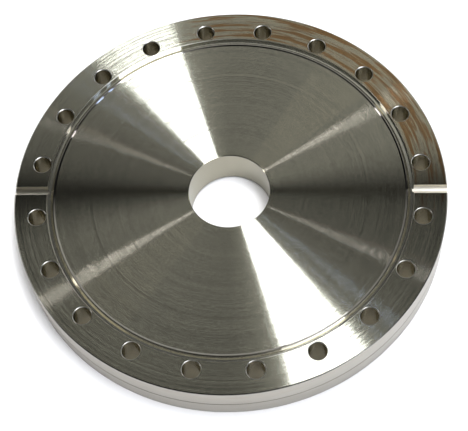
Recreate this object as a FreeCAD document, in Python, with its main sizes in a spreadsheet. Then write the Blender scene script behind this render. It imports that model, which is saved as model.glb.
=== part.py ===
import FreeCAD, Part
import math
import os

import Sketcher

# A knife-edge vacuum flange of 8 inch outside size (DN160) with a bore for a 1.5 inch tube. It is
# turned, drilled and slotted from one stainless steel disc. Everything is in millimetres.
# Frame: the origin is the centre of the back face, and +Z runs along the flange's axis towards the
# sealing side. The two leak-check slots lie along the X axis.

SIZES = [
    ("rim_radius", 101.2, "outside of the flange"),
    ("thickness", 22.3, "back face to sealing face"),
    ("rim_chamfer", 0.5, "both edges of the rim, at 45 degrees"),
    ("rim_line_height", 10.2, "turned line round the rim, above the back face"),
    ("rim_line_width", 0.5, "width of that line"),
    ("rim_line_depth", 0.25, "depth of that line"),
    ("bore_radius", 19.05, "tube bore, for a 38.1 mm tube"),
    ("bore_edge", 0.35, "edge break where the bore meets the central face"),
    ("bore_lead_in", 1.6, "chamfer where a tube enters from the back"),
    ("face_drop", 0.9, "sealing face to the central face"),
    ("bevel_foot_radius", 81.9, "where the knife edge's inner bevel meets the central face"),
    ("knife_radius", 83.05, "tip of the knife edge"),
    ("knife_drop", 0.55, "sealing face to the tip"),
    ("flank_foot_radius", 84.2, "where its outer flank meets the floor of the gasket recess"),
    ("recess_depth", 1.6, "sealing face to that floor"),
    ("recess_radius", 85.72, "wall that holds the gasket's outside"),
    ("recess_edge", 0.15, "edge break at the mouth of the recess"),
    ("bolt_count", 20, "bolt holes round the circle"),
    ("bolt_circle_radius", 90.5, "centres of the bolt holes"),
    ("bolt_hole_radius", 4.2, "clearance for M8 or 5/16 inch bolts"),
    ("bolt_hole_edge", 0.3, "edge break at both mouths of each bolt hole"),
    ("slot_count", 2, "leak-check slots, evenly spaced"),
    ("slot_cutter_radius", 2.2, "round-nosed cutter that makes the slots"),
    ("slot_depth", 1.8, "sealing face to the bottom of a slot"),
    ("slot_start_radius", 85.0, "inner end of a slot, on the recess floor"),
]
SIZE = {alias: value for alias, value, meaning in SIZES}

doc = FreeCAD.newDocument("vacuum_flange")


def make_sheet():
    """The sheet that drives every size: value and alias in column A, meaning in column B."""
    sheet = doc.addObject("Spreadsheet::Sheet", "Sizes")
    for row, (alias, value, meaning) in enumerate(SIZES, start=1):
        sheet.set(f"A{row}", str(value))
        sheet.setAlias(f"A{row}", alias)
        sheet.set(f"B{row}", meaning)
    doc.recompute()


def amount(terms):
    """The sum of the named sizes, such as "thickness -rim_chamfer". No names is zero."""
    return sum(-SIZE[t[1:]] if t.startswith("-") else SIZE[t] for t in terms.split())


def formula(terms):
    """The same sum as an expression that reads the sheet."""
    signed = [f"- Sizes.{t[1:]}" if t.startswith("-") else f"+ Sizes.{t}" for t in terms.split()]
    return " ".join(signed).removeprefix("+ ")


def origin_feature(body, role):
    """The body's own origin plane or axis of that role."""
    return next(f for f in body.Origin.OriginFeatures if f.Role == role)


def make_sketch(body, name, plane):
    """An empty sketch on one of the body's origin planes."""
    sketch = body.newObject("Sketcher::SketchObject", name)
    sketch.AttachmentSupport = [(origin_feature(body, plane), "")]
    sketch.MapMode = "FlatFace"
    return sketch


def place(sketch, kind, geometry, point, terms):
    """Holds a point at that distance from the sketch's origin along X or Y, bound to the sheet."""
    if not terms:
        axis = {"DistanceX": -2, "DistanceY": -1}[kind]
        sketch.addConstraint(Sketcher.Constraint("PointOnObject", geometry, point, axis))
        return
    rule = Sketcher.Constraint(kind, -1, 1, geometry, point, amount(terms))
    index = sketch.addConstraint(rule)
    sketch.setExpression(f"Constraints[{index}]", formula(terms))


def half_section(body, name, corners):
    """A closed outline on the XZ plane. Each corner is its radius and its height above the back."""
    sketch = make_sketch(body, name, "XZ_Plane")
    spots = [FreeCAD.Vector(amount(radius), amount(height), 0) for radius, height in corners]
    for start, end in zip(spots, spots[1:] + spots[:1]):
        sketch.addGeometry(Part.LineSegment(start, end))
    for line, (radius, height) in enumerate(corners):
        following = (line + 1) % len(corners)
        sketch.addConstraint(Sketcher.Constraint("Coincident", line, 2, following, 1))
        place(sketch, "DistanceX", line, 1, radius)
        place(sketch, "DistanceY", line, 1, height)
    return sketch


def circle(sketch, centre, radius):
    """A circle whose radius is bound to the named size."""
    index = sketch.addGeometry(Part.Circle(centre, FreeCAD.Vector(0, 0, 1), SIZE[radius]))
    rule = sketch.addConstraint(Sketcher.Constraint("Radius", index, SIZE[radius]))
    sketch.setExpression(f"Constraints[{rule}]", formula(radius))
    return index


def turn(body, kind, name, corners):
    """A feature turned about Z from a half section: a Revolution adds, and a Groove cuts."""
    sketch = half_section(body, f"{name}_section", corners)
    feature = body.newObject(kind, name)
    feature.Profile = sketch
    feature.ReferenceAxis = (sketch, ["V_Axis"])
    feature.Angle = 360
    doc.recompute()
    return feature


def cut_through(body, name, sketch):
    """A pocket along the sketch's normal, all the way out of the steel."""
    pocket = body.newObject("PartDesign::Pocket", name)
    pocket.Profile = sketch
    pocket.Type = "ThroughAll"
    pocket.Reversed = True
    doc.recompute()
    return pocket


def repeat_round(body, name, feature, count):
    """Repeats a feature evenly round the flange's axis."""
    pattern = body.newObject("PartDesign::PolarPattern", name)
    pattern.Originals = [feature]
    pattern.Axis = (origin_feature(body, "Z_Axis"), [""])
    pattern.Angle = 360
    pattern.setExpression("Occurrences", formula(count))
    body.Tip = pattern
    doc.recompute()
    return pattern


def turn_blank(body):
    """The plain disc with its tube bore, rim chamfers and the tube's lead-in at the back."""
    return turn(
        body,
        "PartDesign::Revolution",
        "blank",
        [
            ("bore_radius bore_lead_in", ""),
            ("rim_radius -rim_chamfer", ""),
            ("rim_radius", "rim_chamfer"),
            ("rim_radius", "thickness -rim_chamfer"),
            ("rim_radius -rim_chamfer", "thickness"),
            ("bore_radius", "thickness"),
            ("bore_radius", "bore_lead_in"),
        ],
    )


def turn_seal_side(body):
    """The central face, the knife edge and the gasket recess, cut down from the sealing face."""
    return turn(
        body,
        "PartDesign::Groove",
        "seal_side",
        [
            ("bore_radius -bore_edge", "thickness -face_drop -bore_edge -bore_edge"),
            ("bore_radius bore_edge", "thickness -face_drop"),
            ("bevel_foot_radius", "thickness -face_drop"),
            ("knife_radius", "thickness -knife_drop"),
            ("flank_foot_radius", "thickness -recess_depth"),
            ("recess_radius", "thickness -recess_depth"),
            ("recess_radius", "thickness -recess_edge"),
            ("recess_radius recess_edge recess_edge", "thickness recess_edge"),
            ("bore_radius -bore_edge", "thickness recess_edge"),
        ],
    )


def turn_rim_line(body):
    """The fine V-shaped line round the rim."""
    return turn(
        body,
        "PartDesign::Groove",
        "rim_line",
        [
            ("rim_radius -rim_line_depth", "rim_line_height"),
            ("rim_radius rim_line_depth", "rim_line_height -rim_line_width"),
            ("rim_radius rim_line_depth", "rim_line_height rim_line_width"),
        ],
    )


def drill_bolt_holes(body):
    """Through holes on the bolt circle, half a pitch either side of the X axis."""
    sketch = make_sketch(body, "bolt_hole_circle", "XY_Plane")
    half_pitch = math.pi / SIZE["bolt_count"]
    centre = FreeCAD.Vector(math.cos(half_pitch), math.sin(half_pitch), 0)
    centre = centre * SIZE["bolt_circle_radius"]
    spoke = sketch.addGeometry(Part.LineSegment(FreeCAD.Vector(), centre), True)
    hole = circle(sketch, centre, "bolt_hole_radius")
    sketch.addConstraint(Sketcher.Constraint("Coincident", spoke, 1, -1, 1))
    sketch.addConstraint(Sketcher.Constraint("Coincident", spoke, 2, hole, 3))
    length = Sketcher.Constraint("Distance", spoke, SIZE["bolt_circle_radius"])
    index = sketch.addConstraint(length)
    sketch.setExpression(f"Constraints[{index}]", formula("bolt_circle_radius"))
    index = sketch.addConstraint(Sketcher.Constraint("Angle", spoke, half_pitch))
    sketch.setExpression(f"Constraints[{index}]", "180 deg / Sizes.bolt_count")
    return repeat_round(body, "bolt_holes", cut_through(body, "bolt_hole", sketch), "bolt_count")


def break_hole_edges(body, holes):
    """A small chamfer on both mouths of every bolt hole."""
    mouths = [
        f"Edge{number}"
        for number, edge in enumerate(holes.Shape.Edges, start=1)
        if isinstance(edge.Curve, Part.Circle)
        and math.isclose(edge.Curve.Radius, SIZE["bolt_hole_radius"])
    ]
    chamfer = body.newObject("PartDesign::Chamfer", "bolt_hole_mouths")
    chamfer.Base = (holes, mouths)
    chamfer.Size = SIZE["bolt_hole_edge"]
    chamfer.setExpression("Size", formula("bolt_hole_edge"))
    doc.recompute()
    return len(mouths)


def mill_leak_slots(body):
    """Round-bottomed slots from the gasket recess out through the rim, for testing the seal."""
    sketch = make_sketch(body, "leak_slot_cutter", "YZ_Plane")
    start = FreeCAD.Vector(0, 0, SIZE["slot_start_radius"])
    sketch.AttachmentOffset = FreeCAD.Placement(start, FreeCAD.Rotation())
    sketch.setExpression("AttachmentOffset.Base.z", formula("slot_start_radius"))
    height = "thickness slot_cutter_radius -slot_depth"
    cutter = circle(sketch, FreeCAD.Vector(0, amount(height), 0), "slot_cutter_radius")
    place(sketch, "DistanceX", cutter, 3, "")
    place(sketch, "DistanceY", cutter, 3, height)
    return repeat_round(body, "leak_slots", cut_through(body, "leak_slot", sketch), "slot_count")


def expect_removed(body, before, expected, what):
    """Stops if a cut didn't take away the volume that it should."""
    removed = before - body.Shape.Volume
    print(f"{what}: {removed:.1f} mm3 removed, {expected:.1f} expected")
    if not math.isclose(removed, expected, rel_tol=0.02):
        raise RuntimeError(f"{what} didn't cut as meant")


def ring_volume(corners):
    """Volume swept by turning a half section about the axis, by Pappus's rule."""
    total = 0
    for (r1, z1), (r2, z2) in zip(corners, corners[1:] + corners[:1]):
        total += (r1 * r1 + r1 * r2 + r2 * r2) * (z2 - z1)
    return abs(total) * math.pi / 3


def seal_side_volume():
    """Steel that turning the seal side takes away: what lies between its outline and the blank."""
    top = SIZE["thickness"]
    face = top - SIZE["face_drop"]
    floor = top - SIZE["recess_depth"]
    inner = SIZE["bore_radius"]
    return ring_volume(
        [
            (inner, face - SIZE["bore_edge"]),
            (inner + SIZE["bore_edge"], face),
            (SIZE["bevel_foot_radius"], face),
            (SIZE["knife_radius"], top - SIZE["knife_drop"]),
            (SIZE["flank_foot_radius"], floor),
            (SIZE["recess_radius"], floor),
            (SIZE["recess_radius"], top - SIZE["recess_edge"]),
            (SIZE["recess_radius"] + SIZE["recess_edge"], top),
            (inner, top),
        ]
    )


def make_flange():
    """The whole flange, in the order in which it is machined."""
    body = doc.addObject("PartDesign::Body", "knife_edge_flange")
    body.Label = "knife_edge_flange"
    turn_blank(body)
    before = body.Shape.Volume
    turn_seal_side(body)
    expect_removed(body, before, seal_side_volume(), "seal side")
    turn_rim_line(body)
    before = body.Shape.Volume
    holes = drill_bolt_holes(body)
    one_hole = math.pi * SIZE["bolt_hole_radius"] ** 2 * SIZE["thickness"]
    expect_removed(body, before, SIZE["bolt_count"] * one_hole, "bolt holes")
    mouth_count = break_hole_edges(body, holes)
    if mouth_count != 2 * SIZE["bolt_count"]:
        raise RuntimeError(f"{mouth_count} bolt hole mouths were found")
    before = body.Shape.Volume
    mill_leak_slots(body)
    radius, depth = SIZE["slot_cutter_radius"], SIZE["slot_depth"]
    half_angle = math.acos((radius - depth) / radius)
    section = radius * radius * (half_angle - math.sin(2 * half_angle) / 2)
    length = SIZE["rim_radius"] - SIZE["recess_radius"]
    expect_removed(body, before, SIZE["slot_count"] * section * length, "leak-check slots")
    body.Placement = FreeCAD.Placement()
    return body


def check_and_export(pieces):
    """Writes each piece's STEP file once every feature has solved and every shape is sound."""
    doc.recompute()
    failed = [o.Name for o in doc.Objects if "Invalid" in o.State or "Error" in o.State]
    if failed:
        raise RuntimeError(f"features that failed: {failed}")
    for piece in pieces:
        if piece.Shape.isNull() or not piece.Shape.isValid():
            raise RuntimeError(f"{piece.Label} has no valid shape")
        if len(piece.Shape.Solids) != 1:
            raise RuntimeError(f"{piece.Label} has {len(piece.Shape.Solids)} solids")
    os.makedirs("parts", exist_ok=True)
    for piece in pieces:
        piece.Shape.exportStep(f"parts/{piece.Label}.step")
        box = piece.Shape.BoundBox
        print(f"{piece.Label}: {piece.Shape.Volume:.0f} mm3")
        print(f"  {box.XLength:.2f} x {box.YLength:.2f} x {box.ZLength:.2f} mm")


make_sheet()
check_and_export([make_flange()])
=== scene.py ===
import math

import bpy
from mathutils import Matrix, Vector


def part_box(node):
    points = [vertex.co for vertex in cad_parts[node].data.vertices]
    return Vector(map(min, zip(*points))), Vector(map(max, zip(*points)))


# A knife-edge vacuum flange on a pale floor, sealing side up. Lengths are in metres and angles in
# degrees. The flange's axis is Z, its back face is at height 0 and its leak-check slots lie along X.

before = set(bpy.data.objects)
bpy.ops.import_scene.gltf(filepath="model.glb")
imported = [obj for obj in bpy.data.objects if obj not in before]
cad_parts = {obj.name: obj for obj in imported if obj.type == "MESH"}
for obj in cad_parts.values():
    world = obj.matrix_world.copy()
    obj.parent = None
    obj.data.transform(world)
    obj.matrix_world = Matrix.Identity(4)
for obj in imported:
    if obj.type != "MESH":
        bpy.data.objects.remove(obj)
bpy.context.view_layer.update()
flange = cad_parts["knife_edge_flange"]
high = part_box("knife_edge_flange")[1]
TOP = high.z
RIM = high.x

MM = 0.001

# The radii, heights and widths that part the flange's surfaces from each other. A zone reaches past
# the edge of a feature, far enough to take in all of it and nothing of the next one.
BORE_RADIUS = 19.05 * MM
BORE_ZONE = 2 * MM
BEVEL_FOOT = 81.9 * MM
KNIFE_RADIUS = 83.05 * MM
RECESS_RADIUS = 85.72 * MM
RECESS_EDGE = 0.15 * MM
RECESS_ZONE = 2 * MM
BOLT_CIRCLE = 90.5 * MM
BOLT_HOLE = 4.2 * MM
BOLT_HOLE_ZONE = 0.6 * MM
BOLT_COUNT = 20
RIM_CHAMFER = 0.5 * MM
RIM_LINE = 10.2 * MM
RIM_LINE_ZONE = 1 * MM
MARGIN = 0.01 * MM

# A face of the mesh is flat or upright by how far its normal points along Z.
FLAT = 0.99
UPRIGHT = 0.1

# The camera, as angles round the flange and a distance from the middle of its sealing face.
CAMERA_AZIMUTH = 7.738
CAMERA_ELEVATION = 61.875
CAMERA_ROLL = -7.061
CAMERA_DISTANCE = 0.6161
CAMERA_RIGHT = 0.0008
CAMERA_UP = -0.0122
CAMERA_LENS = 101.52
NEAREST_SEEN = 0.01
FURTHEST_SEEN = 100


def make_camera():
    """Looks at the sealing face from in front and above, turned a little about its own axis."""
    azimuth, elevation, roll = map(math.radians, (CAMERA_AZIMUTH, CAMERA_ELEVATION, CAMERA_ROLL))
    back = Vector(
        (
            math.sin(azimuth) * math.cos(elevation),
            -math.cos(azimuth) * math.cos(elevation),
            math.sin(elevation),
        )
    )
    right = Vector((math.cos(azimuth), math.sin(azimuth), 0))
    up = back.cross(right)
    place = Vector((0, 0, TOP)) + right * CAMERA_RIGHT + up * CAMERA_UP + back * CAMERA_DISTANCE
    turned_right = right * math.cos(roll) + up * math.sin(roll)
    turned_up = up * math.cos(roll) - right * math.sin(roll)
    camera = bpy.data.objects.new("camera", bpy.data.cameras.new("camera"))
    bpy.context.scene.collection.objects.link(camera)
    camera.data.lens = CAMERA_LENS
    camera.data.clip_start = NEAREST_SEEN
    camera.data.clip_end = FURTHEST_SEEN
    turn = Matrix((turned_right, turned_up, back)).transposed()
    camera.matrix_world = Matrix.Translation(place) @ turn.to_4x4()
    bpy.context.scene.camera = camera


class Nodes:
    """A short way to write a node tree."""

    def __init__(self, tree):
        self.tree = tree

    def add(self, kind, **settings):
        node = self.tree.nodes.new(kind)
        for name, value in settings.items():
            setattr(node, name, value)
        return node

    def link(self, source, target):
        self.tree.links.new(source, target)

    def feed(self, value, target):
        """A number or a tuple goes on the socket itself, and anything else is linked to it."""
        if isinstance(value, (int, float, tuple)):
            target.default_value = value
        else:
            self.link(value, target)

    def filled(self, node, values):
        """Feeds a node's inputs in their order, and gives its first output."""
        for value, target in zip(values, node.inputs):
            self.feed(value, target)
        return node.outputs[0]

    def math(self, operation, *values):
        return self.filled(self.add("ShaderNodeMath", operation=operation), values)

    def vector_math(self, operation, *values):
        return self.filled(self.add("ShaderNodeVectorMath", operation=operation), values)

    def combine(self, x, y, z):
        return self.filled(self.add("ShaderNodeCombineXYZ"), (x, y, z))

    def parts(self, vector):
        """The x, y and z of a vector, as sockets."""
        node = self.add("ShaderNodeSeparateXYZ")
        self.link(vector, node.inputs[0])
        return node.outputs

    def spread(self, value, low_in, high_in, low_out, high_out):
        """Carries one range over to another, and stops at its ends."""
        node = self.add("ShaderNodeMapRange")
        return self.filled(node, (value, low_in, high_in, low_out, high_out))


class Finish(Nodes):
    """A material, which is metal unless it is told otherwise, and the textures that finishes share."""

    def __init__(self, name, colour, roughness, anisotropy=0.0, turn=0.0, metallic=1.0):
        self.material = bpy.data.materials.new(name)
        self.material.use_nodes = True
        super().__init__(self.material.node_tree)
        self.sockets = self.tree.nodes["Principled BSDF"].inputs
        self.sockets["Base Color"].default_value = (*colour, 1)
        self.sockets["Metallic"].default_value = metallic
        self.sockets["Roughness"].default_value = roughness
        self.sockets["Anisotropic"].default_value = anisotropy
        self.sockets["Anisotropic Rotation"].default_value = turn

    def place(self):
        """The point on the flange, in its own frame, as x, y and z sockets."""
        return self.parts(self.add("ShaderNodeTexCoord").outputs["Object"])

    def normal(self):
        return self.add("ShaderNodeNewGeometry").outputs["Normal"]

    def toward(self, x, y, degrees):
        """How far (x, y) lies in a direction, which is given by its angle from X."""
        turn = math.radians(degrees)
        along_x = self.math("MULTIPLY", x, math.cos(turn))
        along_y = self.math("MULTIPLY", y, math.sin(turn))
        return self.math("ADD", along_x, along_y)

    def noise(self, where, scales, detail):
        """Noise that is finer along some axes than along others, by scales."""
        node = self.add("ShaderNodeTexNoise")
        self.link(self.vector_math("MULTIPLY", where, scales), node.inputs["Vector"])
        node.inputs["Scale"].default_value = 1.0
        node.inputs["Detail"].default_value = detail
        node.inputs["Roughness"].default_value = NOISE_ROUGHNESS
        return node.outputs["Fac"]

    def wave(self, length, per_metre, detail):
        """Noise along one length."""
        node = self.add("ShaderNodeTexNoise", noise_dimensions="1D")
        self.link(self.math("MULTIPLY", length, per_metre), node.inputs["W"])
        node.inputs["Scale"].default_value = 1.0
        node.inputs["Detail"].default_value = detail
        return node.outputs["Fac"]

    def blend(self, share, first, second):
        """A colour between two, where each is a triple or a socket."""
        node = self.add("ShaderNodeMix", data_type="RGBA")
        self.feed(share, node.inputs["Factor"])
        for value, target in ((first, node.inputs[6]), (second, node.inputs[7])):
            self.feed((*value, 1) if isinstance(value, tuple) else value, target)
        return node.outputs[2]


# The colours of the turned steel and of its heat tint, faint and strong, and the angles round the
# flange at which the tint lies and at which the rim's painted light is brightest.
STEEL = (0.76, 0.742, 0.583)
WARM = (0.84, 0.74, 0.5)
STAIN = (0.5, 0.27, 0.09)
STAIN_ANGLE = 50
PAINTED_LIGHT_ANGLE = -38

# Turning marks: how much of its colour the darkest one keeps, the fine ridges that catch the light,
# and the wider bands in which the ridges are shallow or deep. The gain makes up for the noise, which
# keeps near its middle. The knife's tip is rounded from BLUNT_START on.
DARK_MARKS = 0.58
RIDGES_PER_METRE = 30000
RIDGE_GAIN = 4.2
BANDS_PER_METRE = 1400
SHALLOW, DEEP = 0.6, 1.4
BLUNT_START = 82.5 * MM
BLUNT_WIDTH = 0.3 * MM

# How fine the noise is. On the turned faces it is drawn out round the axis, over the unit circle and
# per metre of radius, and on the rim it is per metre along X, Y and Z.
MARK_SCALES = (38, 38, 2100)
STAIN_SCALES = (4, 4, 620)
RIM_SCALES = (60, 60, 900)
NOISE_ROUGHNESS = 0.6
NOISE_LOW, NOISE_HIGH = 0.3, 0.7

# The heat tint: where it starts and where it is full, as the cosine of the angle from its middle,
# how much more of it is brown there, the noise that is brown, and the strength of each colour.
ZONE_START, ZONE_FULL = 0.52, 0.85
ZONE_BROWN = 0.07
BROWN_LOW, BROWN_HIGH = 0.54, 0.64
BROWN_EASE = 0.3
BROWN_STRENGTH = 0.85
WARM_STRENGTH = 0.5

# The rim's painted shade and painted light meet between these places across it, as shares of its
# radius.
PAINTED_SHADE_END, PAINTED_LIGHT_END = -0.7, 0.95
RIM_GRAIN = 0.12

# The anisotropic rotation that lays tool marks across a surface's tangent.
QUARTER_TURN = 0.25


def tinted(n, colour, out_x, out_y, ring):
    """A colour with the straw-coloured and brown heat tint over it, on one side of the flange."""
    zone = n.spread(n.toward(out_x, out_y, STAIN_ANGLE), ZONE_START, ZONE_FULL, 0, 1)
    brown = n.math("ADD", n.noise(ring, STAIN_SCALES, 3.0), n.math("MULTIPLY", zone, ZONE_BROWN))
    streak = n.math(
        "MULTIPLY",
        n.spread(brown, BROWN_LOW, BROWN_HIGH, 0, BROWN_STRENGTH),
        n.spread(zone, 0, BROWN_EASE, 0, 1),
    )
    warm = n.blend(n.math("MULTIPLY", zone, WARM_STRENGTH), colour, WARM)
    return n.blend(streak, warm, STAIN)


def turned(name, roughness, lean, colour=STEEL, stained=False, blunt=0.0, metallic=1.0):
    """Stainless steel with fine turning marks round the flange's axis.

    lean tilts the surface in and out along the radius, differently at each one, as the ridges
    that the tool leaves do. It is the usual slope of those ridges. blunt is how far the surface
    turns outwards near the knife's tip, which is a little rounded. metallic under 1 leaves a
    share of the surface matt.
    """
    n = Finish(name, colour, roughness, 1.0, QUARTER_TURN, metallic)
    x, y, _ = n.place()
    radius = n.math("SQRT", n.math("ADD", n.math("MULTIPLY", x, x), n.math("MULTIPLY", y, y)))
    out_x = n.math("DIVIDE", x, radius)
    out_y = n.math("DIVIDE", y, radius)
    ring = n.combine(out_x, out_y, radius)
    dark = tuple(DARK_MARKS * value for value in colour)
    marked = n.blend(n.noise(ring, MARK_SCALES, 2.0), dark, colour)
    if stained:
        marked = tinted(n, marked, out_x, out_y, ring)
    n.link(marked, n.sockets["Base Color"])
    tangent = n.add("ShaderNodeTangent", direction_type="RADIAL", axis="Z")
    n.link(tangent.outputs[0], n.sockets["Tangent"])
    ridges = n.wave(radius, RIDGES_PER_METRE, 0.0)
    slope = n.spread(ridges, 0, 1, -lean * RIDGE_GAIN, lean * RIDGE_GAIN)
    bands = n.wave(radius, BANDS_PER_METRE, 2.0)
    slope = n.math("MULTIPLY", slope, n.spread(bands, NOISE_LOW, NOISE_HIGH, SHALLOW, DEEP))
    if blunt:
        rounding = n.spread(radius, BLUNT_START, BLUNT_START + BLUNT_WIDTH, 0, blunt)
        slope = n.math("ADD", slope, rounding)
    tilt = n.combine(n.math("MULTIPLY", out_x, slope), n.math("MULTIPLY", out_y, slope), 0)
    tilted = n.vector_math("ADD", n.normal(), tilt)
    n.link(n.vector_math("NORMALIZE", tilted), n.sockets["Normal"])
    return n.material


def bored(name, colour, roughness, anisotropy, turn=0.0, painted_light=None):
    """A round wall that stands along Z.

    Its tool marks run up it, or round it where turn is QUARTER_TURN. A second colour, if given, is
    painted light on the side the rim's lit angle faces, and colour, painted shade, is the other's.
    """
    n = Finish(name, colour, roughness, anisotropy, turn)
    # Painted light and shade: the wall is coloured lighter on one side and darker on the other.
    if painted_light:
        x, y, z = n.place()
        side = n.toward(x, y, PAINTED_LIGHT_ANGLE)
        share = n.spread(side, PAINTED_SHADE_END * RIM, PAINTED_LIGHT_END * RIM, 0, 1)
        grain = n.noise(n.combine(x, y, z), RIM_SCALES, 3.0)
        grain = n.spread(grain, NOISE_LOW, NOISE_HIGH, -RIM_GRAIN, RIM_GRAIN)
        share = n.math("ADD", share, grain)
        n.link(n.blend(share, colour, painted_light), n.sockets["Base Color"])
    n.link(n.vector_math("CROSS_PRODUCT", (0, 0, 1), n.normal()), n.sockets["Tangent"])
    return n.material


def milled(name, colour, roughness):
    """A slot along X, with its tool marks along it."""
    n = Finish(name, colour, roughness, 1.0)
    n.link(n.combine(0, 1, 0), n.sockets["Tangent"])
    return n.material


def plain_steel(name, colour, roughness):
    return Finish(name, colour, roughness).material


def nearest_hole(centre):
    """Distance from a point to the axis of the nearest bolt hole."""
    pitch = 2 * math.pi / BOLT_COUNT
    angle = math.atan2(centre.y, centre.x)
    hole = (math.floor(angle / pitch) + 0.5) * pitch
    spot = Vector((math.cos(hole), math.sin(hole))) * BOLT_CIRCLE
    return (Vector((centre.x, centre.y)) - spot).length


def surface_of(face):
    """Which surface of the flange a face of its mesh belongs to."""
    centre, normal = face.center, face.normal
    radius = math.hypot(centre.x, centre.y)
    flat = abs(normal.z) > FLAT
    upright = abs(normal.z) < UPRIGHT
    if flat and normal.z < 0:
        return "back"
    if radius < BORE_RADIUS + BORE_ZONE and not flat:
        if upright:
            return "bore"
        return "bore_edge" if normal.z > 0 else "lead_in_painted_shade"
    if radius < BEVEL_FOOT and flat:
        return "face"
    if radius < RECESS_RADIUS + RECESS_EDGE and centre.z > TOP - RECESS_ZONE:
        if flat or upright:
            return "recess"
        if radius > RECESS_RADIUS:
            return "recess_edge"
        return "bevel" if radius < KNIFE_RADIUS else "flank"
    if flat and centre.z > TOP - MARGIN:
        return "ring"
    if nearest_hole(centre) < BOLT_HOLE + BOLT_HOLE_ZONE and not flat:
        return "hole" if upright else "hole_edge"
    if radius > RIM - RIM_CHAMFER - MARGIN:
        if upright:
            return "rim"
        if centre.z < RIM_CHAMFER + MARGIN:
            return "foot"
        return "rim_line" if abs(centre.z - RIM_LINE) < RIM_LINE_ZONE else "edge"
    return "slot"


def dress_flange():
    """Gives every surface of the flange its own finish."""
    finishes = {
        "face": turned("turned_face", 0.12, 0.25),
        "ring": turned("sealing_ring", 0.12, 0.155, stained=True),
        # Painted light and shade: the bevel, flank, recess and recess edge are one steel, each
        # coloured lighter or darker, the recess and its edge lighter and the flank darker and browner.
        "bevel": turned("knife_bevel", 0.06, 0.015, (0.76, 0.73, 0.63), blunt=0.3),
        "flank": turned("knife_flank", 0.09, 0.02, (0.72, 0.68, 0.54), metallic=0.96),
        "recess": turned("recess", 0.08, 0.02, (0.84, 0.82, 0.68), metallic=0.96),
        "recess_edge": plain_steel("recess_edge", (0.9, 0.87, 0.75), 0.3),
        "back": turned("back_face", 0.13, 0.25),
        # The rim's two colours are painted light and shade, lighter on one side and darker on the
        # other.
        "rim": bored("rim", (0.2, 0.17, 0.125), 0.35, 0.8, painted_light=(0.33, 0.315, 0.275)),
        # The foot chamfer is painted shade: darker than the other edges, for the contact shadow along
        # the base.
        "foot": plain_steel("foot", (0.2, 0.19, 0.16), 0.3),
        # The rim's line is painted shade: coloured darker than the rim, for the shade in its groove.
        "rim_line": plain_steel("rim_line", (0.12, 0.11, 0.085), 0.5),
        "edge": plain_steel("edge", (0.3, 0.29, 0.25), 0.25),
        "bore": bored("bore_wall", (0.3, 0.285, 0.225), 0.35, 0.8),
        "bore_edge": plain_steel("bore_edge", STEEL, 0.15),
        # The lead-in is painted shade: near black, for the contact shadow where the bore meets the
        # floor.
        "lead_in_painted_shade": plain_steel("lead_in_painted_shade", (0.08, 0.075, 0.06), 0.6),
        "hole": bored("drilled_hole", (0.42, 0.38, 0.27), 0.25, 1.0, turn=QUARTER_TURN),
        # Painted highlight: the hole chamfers are coloured near white, lighter than the steel.
        "hole_edge": plain_steel("hole_edge", (0.92, 0.9, 0.82), 0.35),
        "slot": milled("leak_slot", (0.8, 0.75, 0.62), 0.32),
    }
    order = list(finishes)
    flange.data.materials.clear()
    for name in order:
        flange.data.materials.append(finishes[name])
    for face in flange.data.polygons:
        face.material_index = order.index(surface_of(face))


FLOOR_REACH = 6.0
FLOOR_GAP = 0.02 * MM


def make_floor():
    """A wide pale floor that the flange lies on, a hair below its back face."""
    reach = FLOOR_REACH
    mesh = bpy.data.meshes.new("floor")
    corners = [(-reach, -reach, 0), (reach, -reach, 0), (reach, reach, 0), (-reach, reach, 0)]
    mesh.from_pydata(corners, [], [(0, 1, 2, 3)])
    floor = bpy.data.objects.new("floor", mesh)
    floor.location.z = -FLOOR_GAP
    bpy.context.scene.collection.objects.link(floor)
    n = Finish("floor", (0.86, 0.85, 0.83), 0.9, metallic=0.0)
    n.sockets["Specular IOR Level"].default_value = 0.1
    n.sockets["Emission Color"].default_value = (1, 1, 1, 1)
    n.sockets["Emission Strength"].default_value = 0.05
    mesh.materials.append(n.material)


# The sealing face, seen from the camera, mirrors the room round this direction (x and y of the
# unit vector), and each radius of the turned face mirrors one line through it. So the room is
# given by brightness against the angle round that direction: 0 is right, 90 is behind the flange
# and low, and -90 is overhead and in front.
MIRROR_X = -0.067
MIRROR_Y = 0.484
ROOM = [
    (-180, 0.03),
    (-171, 0.005),
    (-162, 0.012),
    (-150, 0.024),
    (-120, 0.062),
    (-100, 0.03),
    (-88, 0.02),
    (-80, 0.09),
    (-73, 0.24),
    (-49, 0.2),
    (-40, 0.09),
    (-30, 0.03),
    (-12, 0.01),
    (0, 0.01),
    (5, 0.15),
    (10, 0.3),
    (18, 0.44),
    (40, 0.39),
    (75, 0.38),
    (95, 0.38),
    (104, 0.42),
    (134, 0.34),
    (150, 0.26),
    (168, 0.22),
    (174, 0.17),
    (180, 0.03),
]

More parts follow.
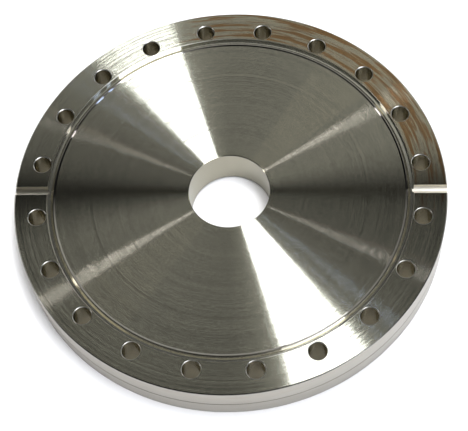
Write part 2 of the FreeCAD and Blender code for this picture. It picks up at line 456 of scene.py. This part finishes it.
# The lamps. Each has an angle, a half width, where it starts and ends as distances from the mirror
# direction, and a glow. The turned face draws the wide and long ones out into rays, and the knife
# edge's smooth slopes show the small ones as sparks.
LAMPS = [
    (-61.2, 11.1, 0.25, 1.1, (7.2, 7.5, 8.4)),
    (-61.2, 11.1, 1.1, 1.36, (3.2, 3.3, 3.6)),
    (118.8, 10.2, 0.34, 0.78, (2.5, 2.6, 2.8)),
    (-146.1, 2.3, 1.0, 1.12, (3.0, 2.9, 3.0)),
    (-146.4, 1.7, 0.36, 0.6, (2.5, 2.4, 2.6)),
    (33.2, 1.5, 0.62, 0.72, (3.6, 3.4, 3.8)),
    (48, 10.5, 0.5, 0.75, (0.35, 0.32, 0.26)),
    (-24.9, 1.3, 0.39, 0.43, (4.0, 3.8, 4.2)),
    (-24.9, 1.3, 0.6, 0.65, (7.0, 6.8, 8.0)),
    (155.6, 1.0, 0.45, 2.0, (0.44, 0.36, 0.34)),
    (-45.7, 0.7, 0.42, 0.45, (3.0, 4.0, 7.0)),
    (-45.7, 0.7, 0.86, 0.89, (4.0, 5.0, 9.0)),
    (-40.4, 1.6, 0.42, 0.45, (3.0, 3.8, 6.0)),
    (-40.4, 1.6, 0.81, 0.835, (4.0, 5.0, 9.0)),
]


def make_room():
    """The room as a glow from every direction, dim but for its lamps."""
    world = bpy.data.worlds.new("room")
    bpy.context.scene.world = world
    world.use_nodes = True
    n = Nodes(world.node_tree)
    towards = n.parts(n.add("ShaderNodeTexCoord").outputs["Generated"])
    x = n.math("SUBTRACT", towards["X"], MIRROR_X)
    y = n.math("SUBTRACT", towards["Y"], MIRROR_Y)
    angle = n.math("ARCTAN2", y, x)
    reach = n.math("SQRT", n.math("MULTIPLY_ADD", x, x, n.math("MULTIPLY", y, y)))
    ramp = n.add("ShaderNodeValToRGB")
    n.link(n.math("MULTIPLY_ADD", angle, 0.5 / math.pi, 0.5), ramp.inputs[0])
    stops = ramp.color_ramp.elements
    while len(stops) < len(ROOM):
        stops.new(1.0)
    for stop, (degrees, grey) in zip(stops, ROOM):
        stop.position = 0.5 + degrees / 360
        stop.color = (grey, grey, grey, 1)
    glow = ramp.outputs["Color"]
    for degrees, half_width, nearest, furthest, colour in LAMPS:
        middle = 0.5 * (nearest + furthest)
        facing = n.math("COMPARE", angle, math.radians(degrees), math.radians(half_width))
        within = n.math("COMPARE", reach, middle, furthest - middle)
        glow = n.vector_math("MULTIPLY_ADD", n.math("MULTIPLY", facing, within), colour, glow)
    n.link(glow, n.tree.nodes["Background"].inputs["Color"])


LIGHT_DISTANCE = 1.5


def soft_light(name, azimuth, elevation, width, radiance):
    """A square light that faces the flange. Its place and width are angles seen from there.

    It is hidden from gloss, because what the steel mirrors is the room.
    """
    around, above = map(math.radians, (azimuth, elevation))
    out = Vector(
        (
            math.cos(above) * math.cos(around),
            math.cos(above) * math.sin(around),
            math.sin(above),
        )
    )
    level = Vector((0, 0, 1)).cross(out).normalized()
    light = bpy.data.lights.new(name, "AREA")
    light.shape = "SQUARE"
    light.size = 2 * LIGHT_DISTANCE * math.tan(math.radians(width / 2))
    light.energy = radiance * math.pi * light.size**2
    made = bpy.data.objects.new(name, light)
    spin = Matrix((level, out.cross(level), out)).transposed()
    made.matrix_world = Matrix.Translation(out * LIGHT_DISTANCE) @ spin.to_4x4()
    made.visible_glossy = False
    bpy.context.scene.collection.objects.link(made)


def make_light():
    """The room, and two lights that brighten the floor round the flange."""
    make_room()
    soft_light("fill", azimuth=0, elevation=89, width=34, radiance=6)
    soft_light("key", azimuth=50, elevation=76, width=12, radiance=20)
    bpy.context.scene.view_settings.view_transform = "Standard"


make_camera()
dress_flange()
make_floor()
make_light()
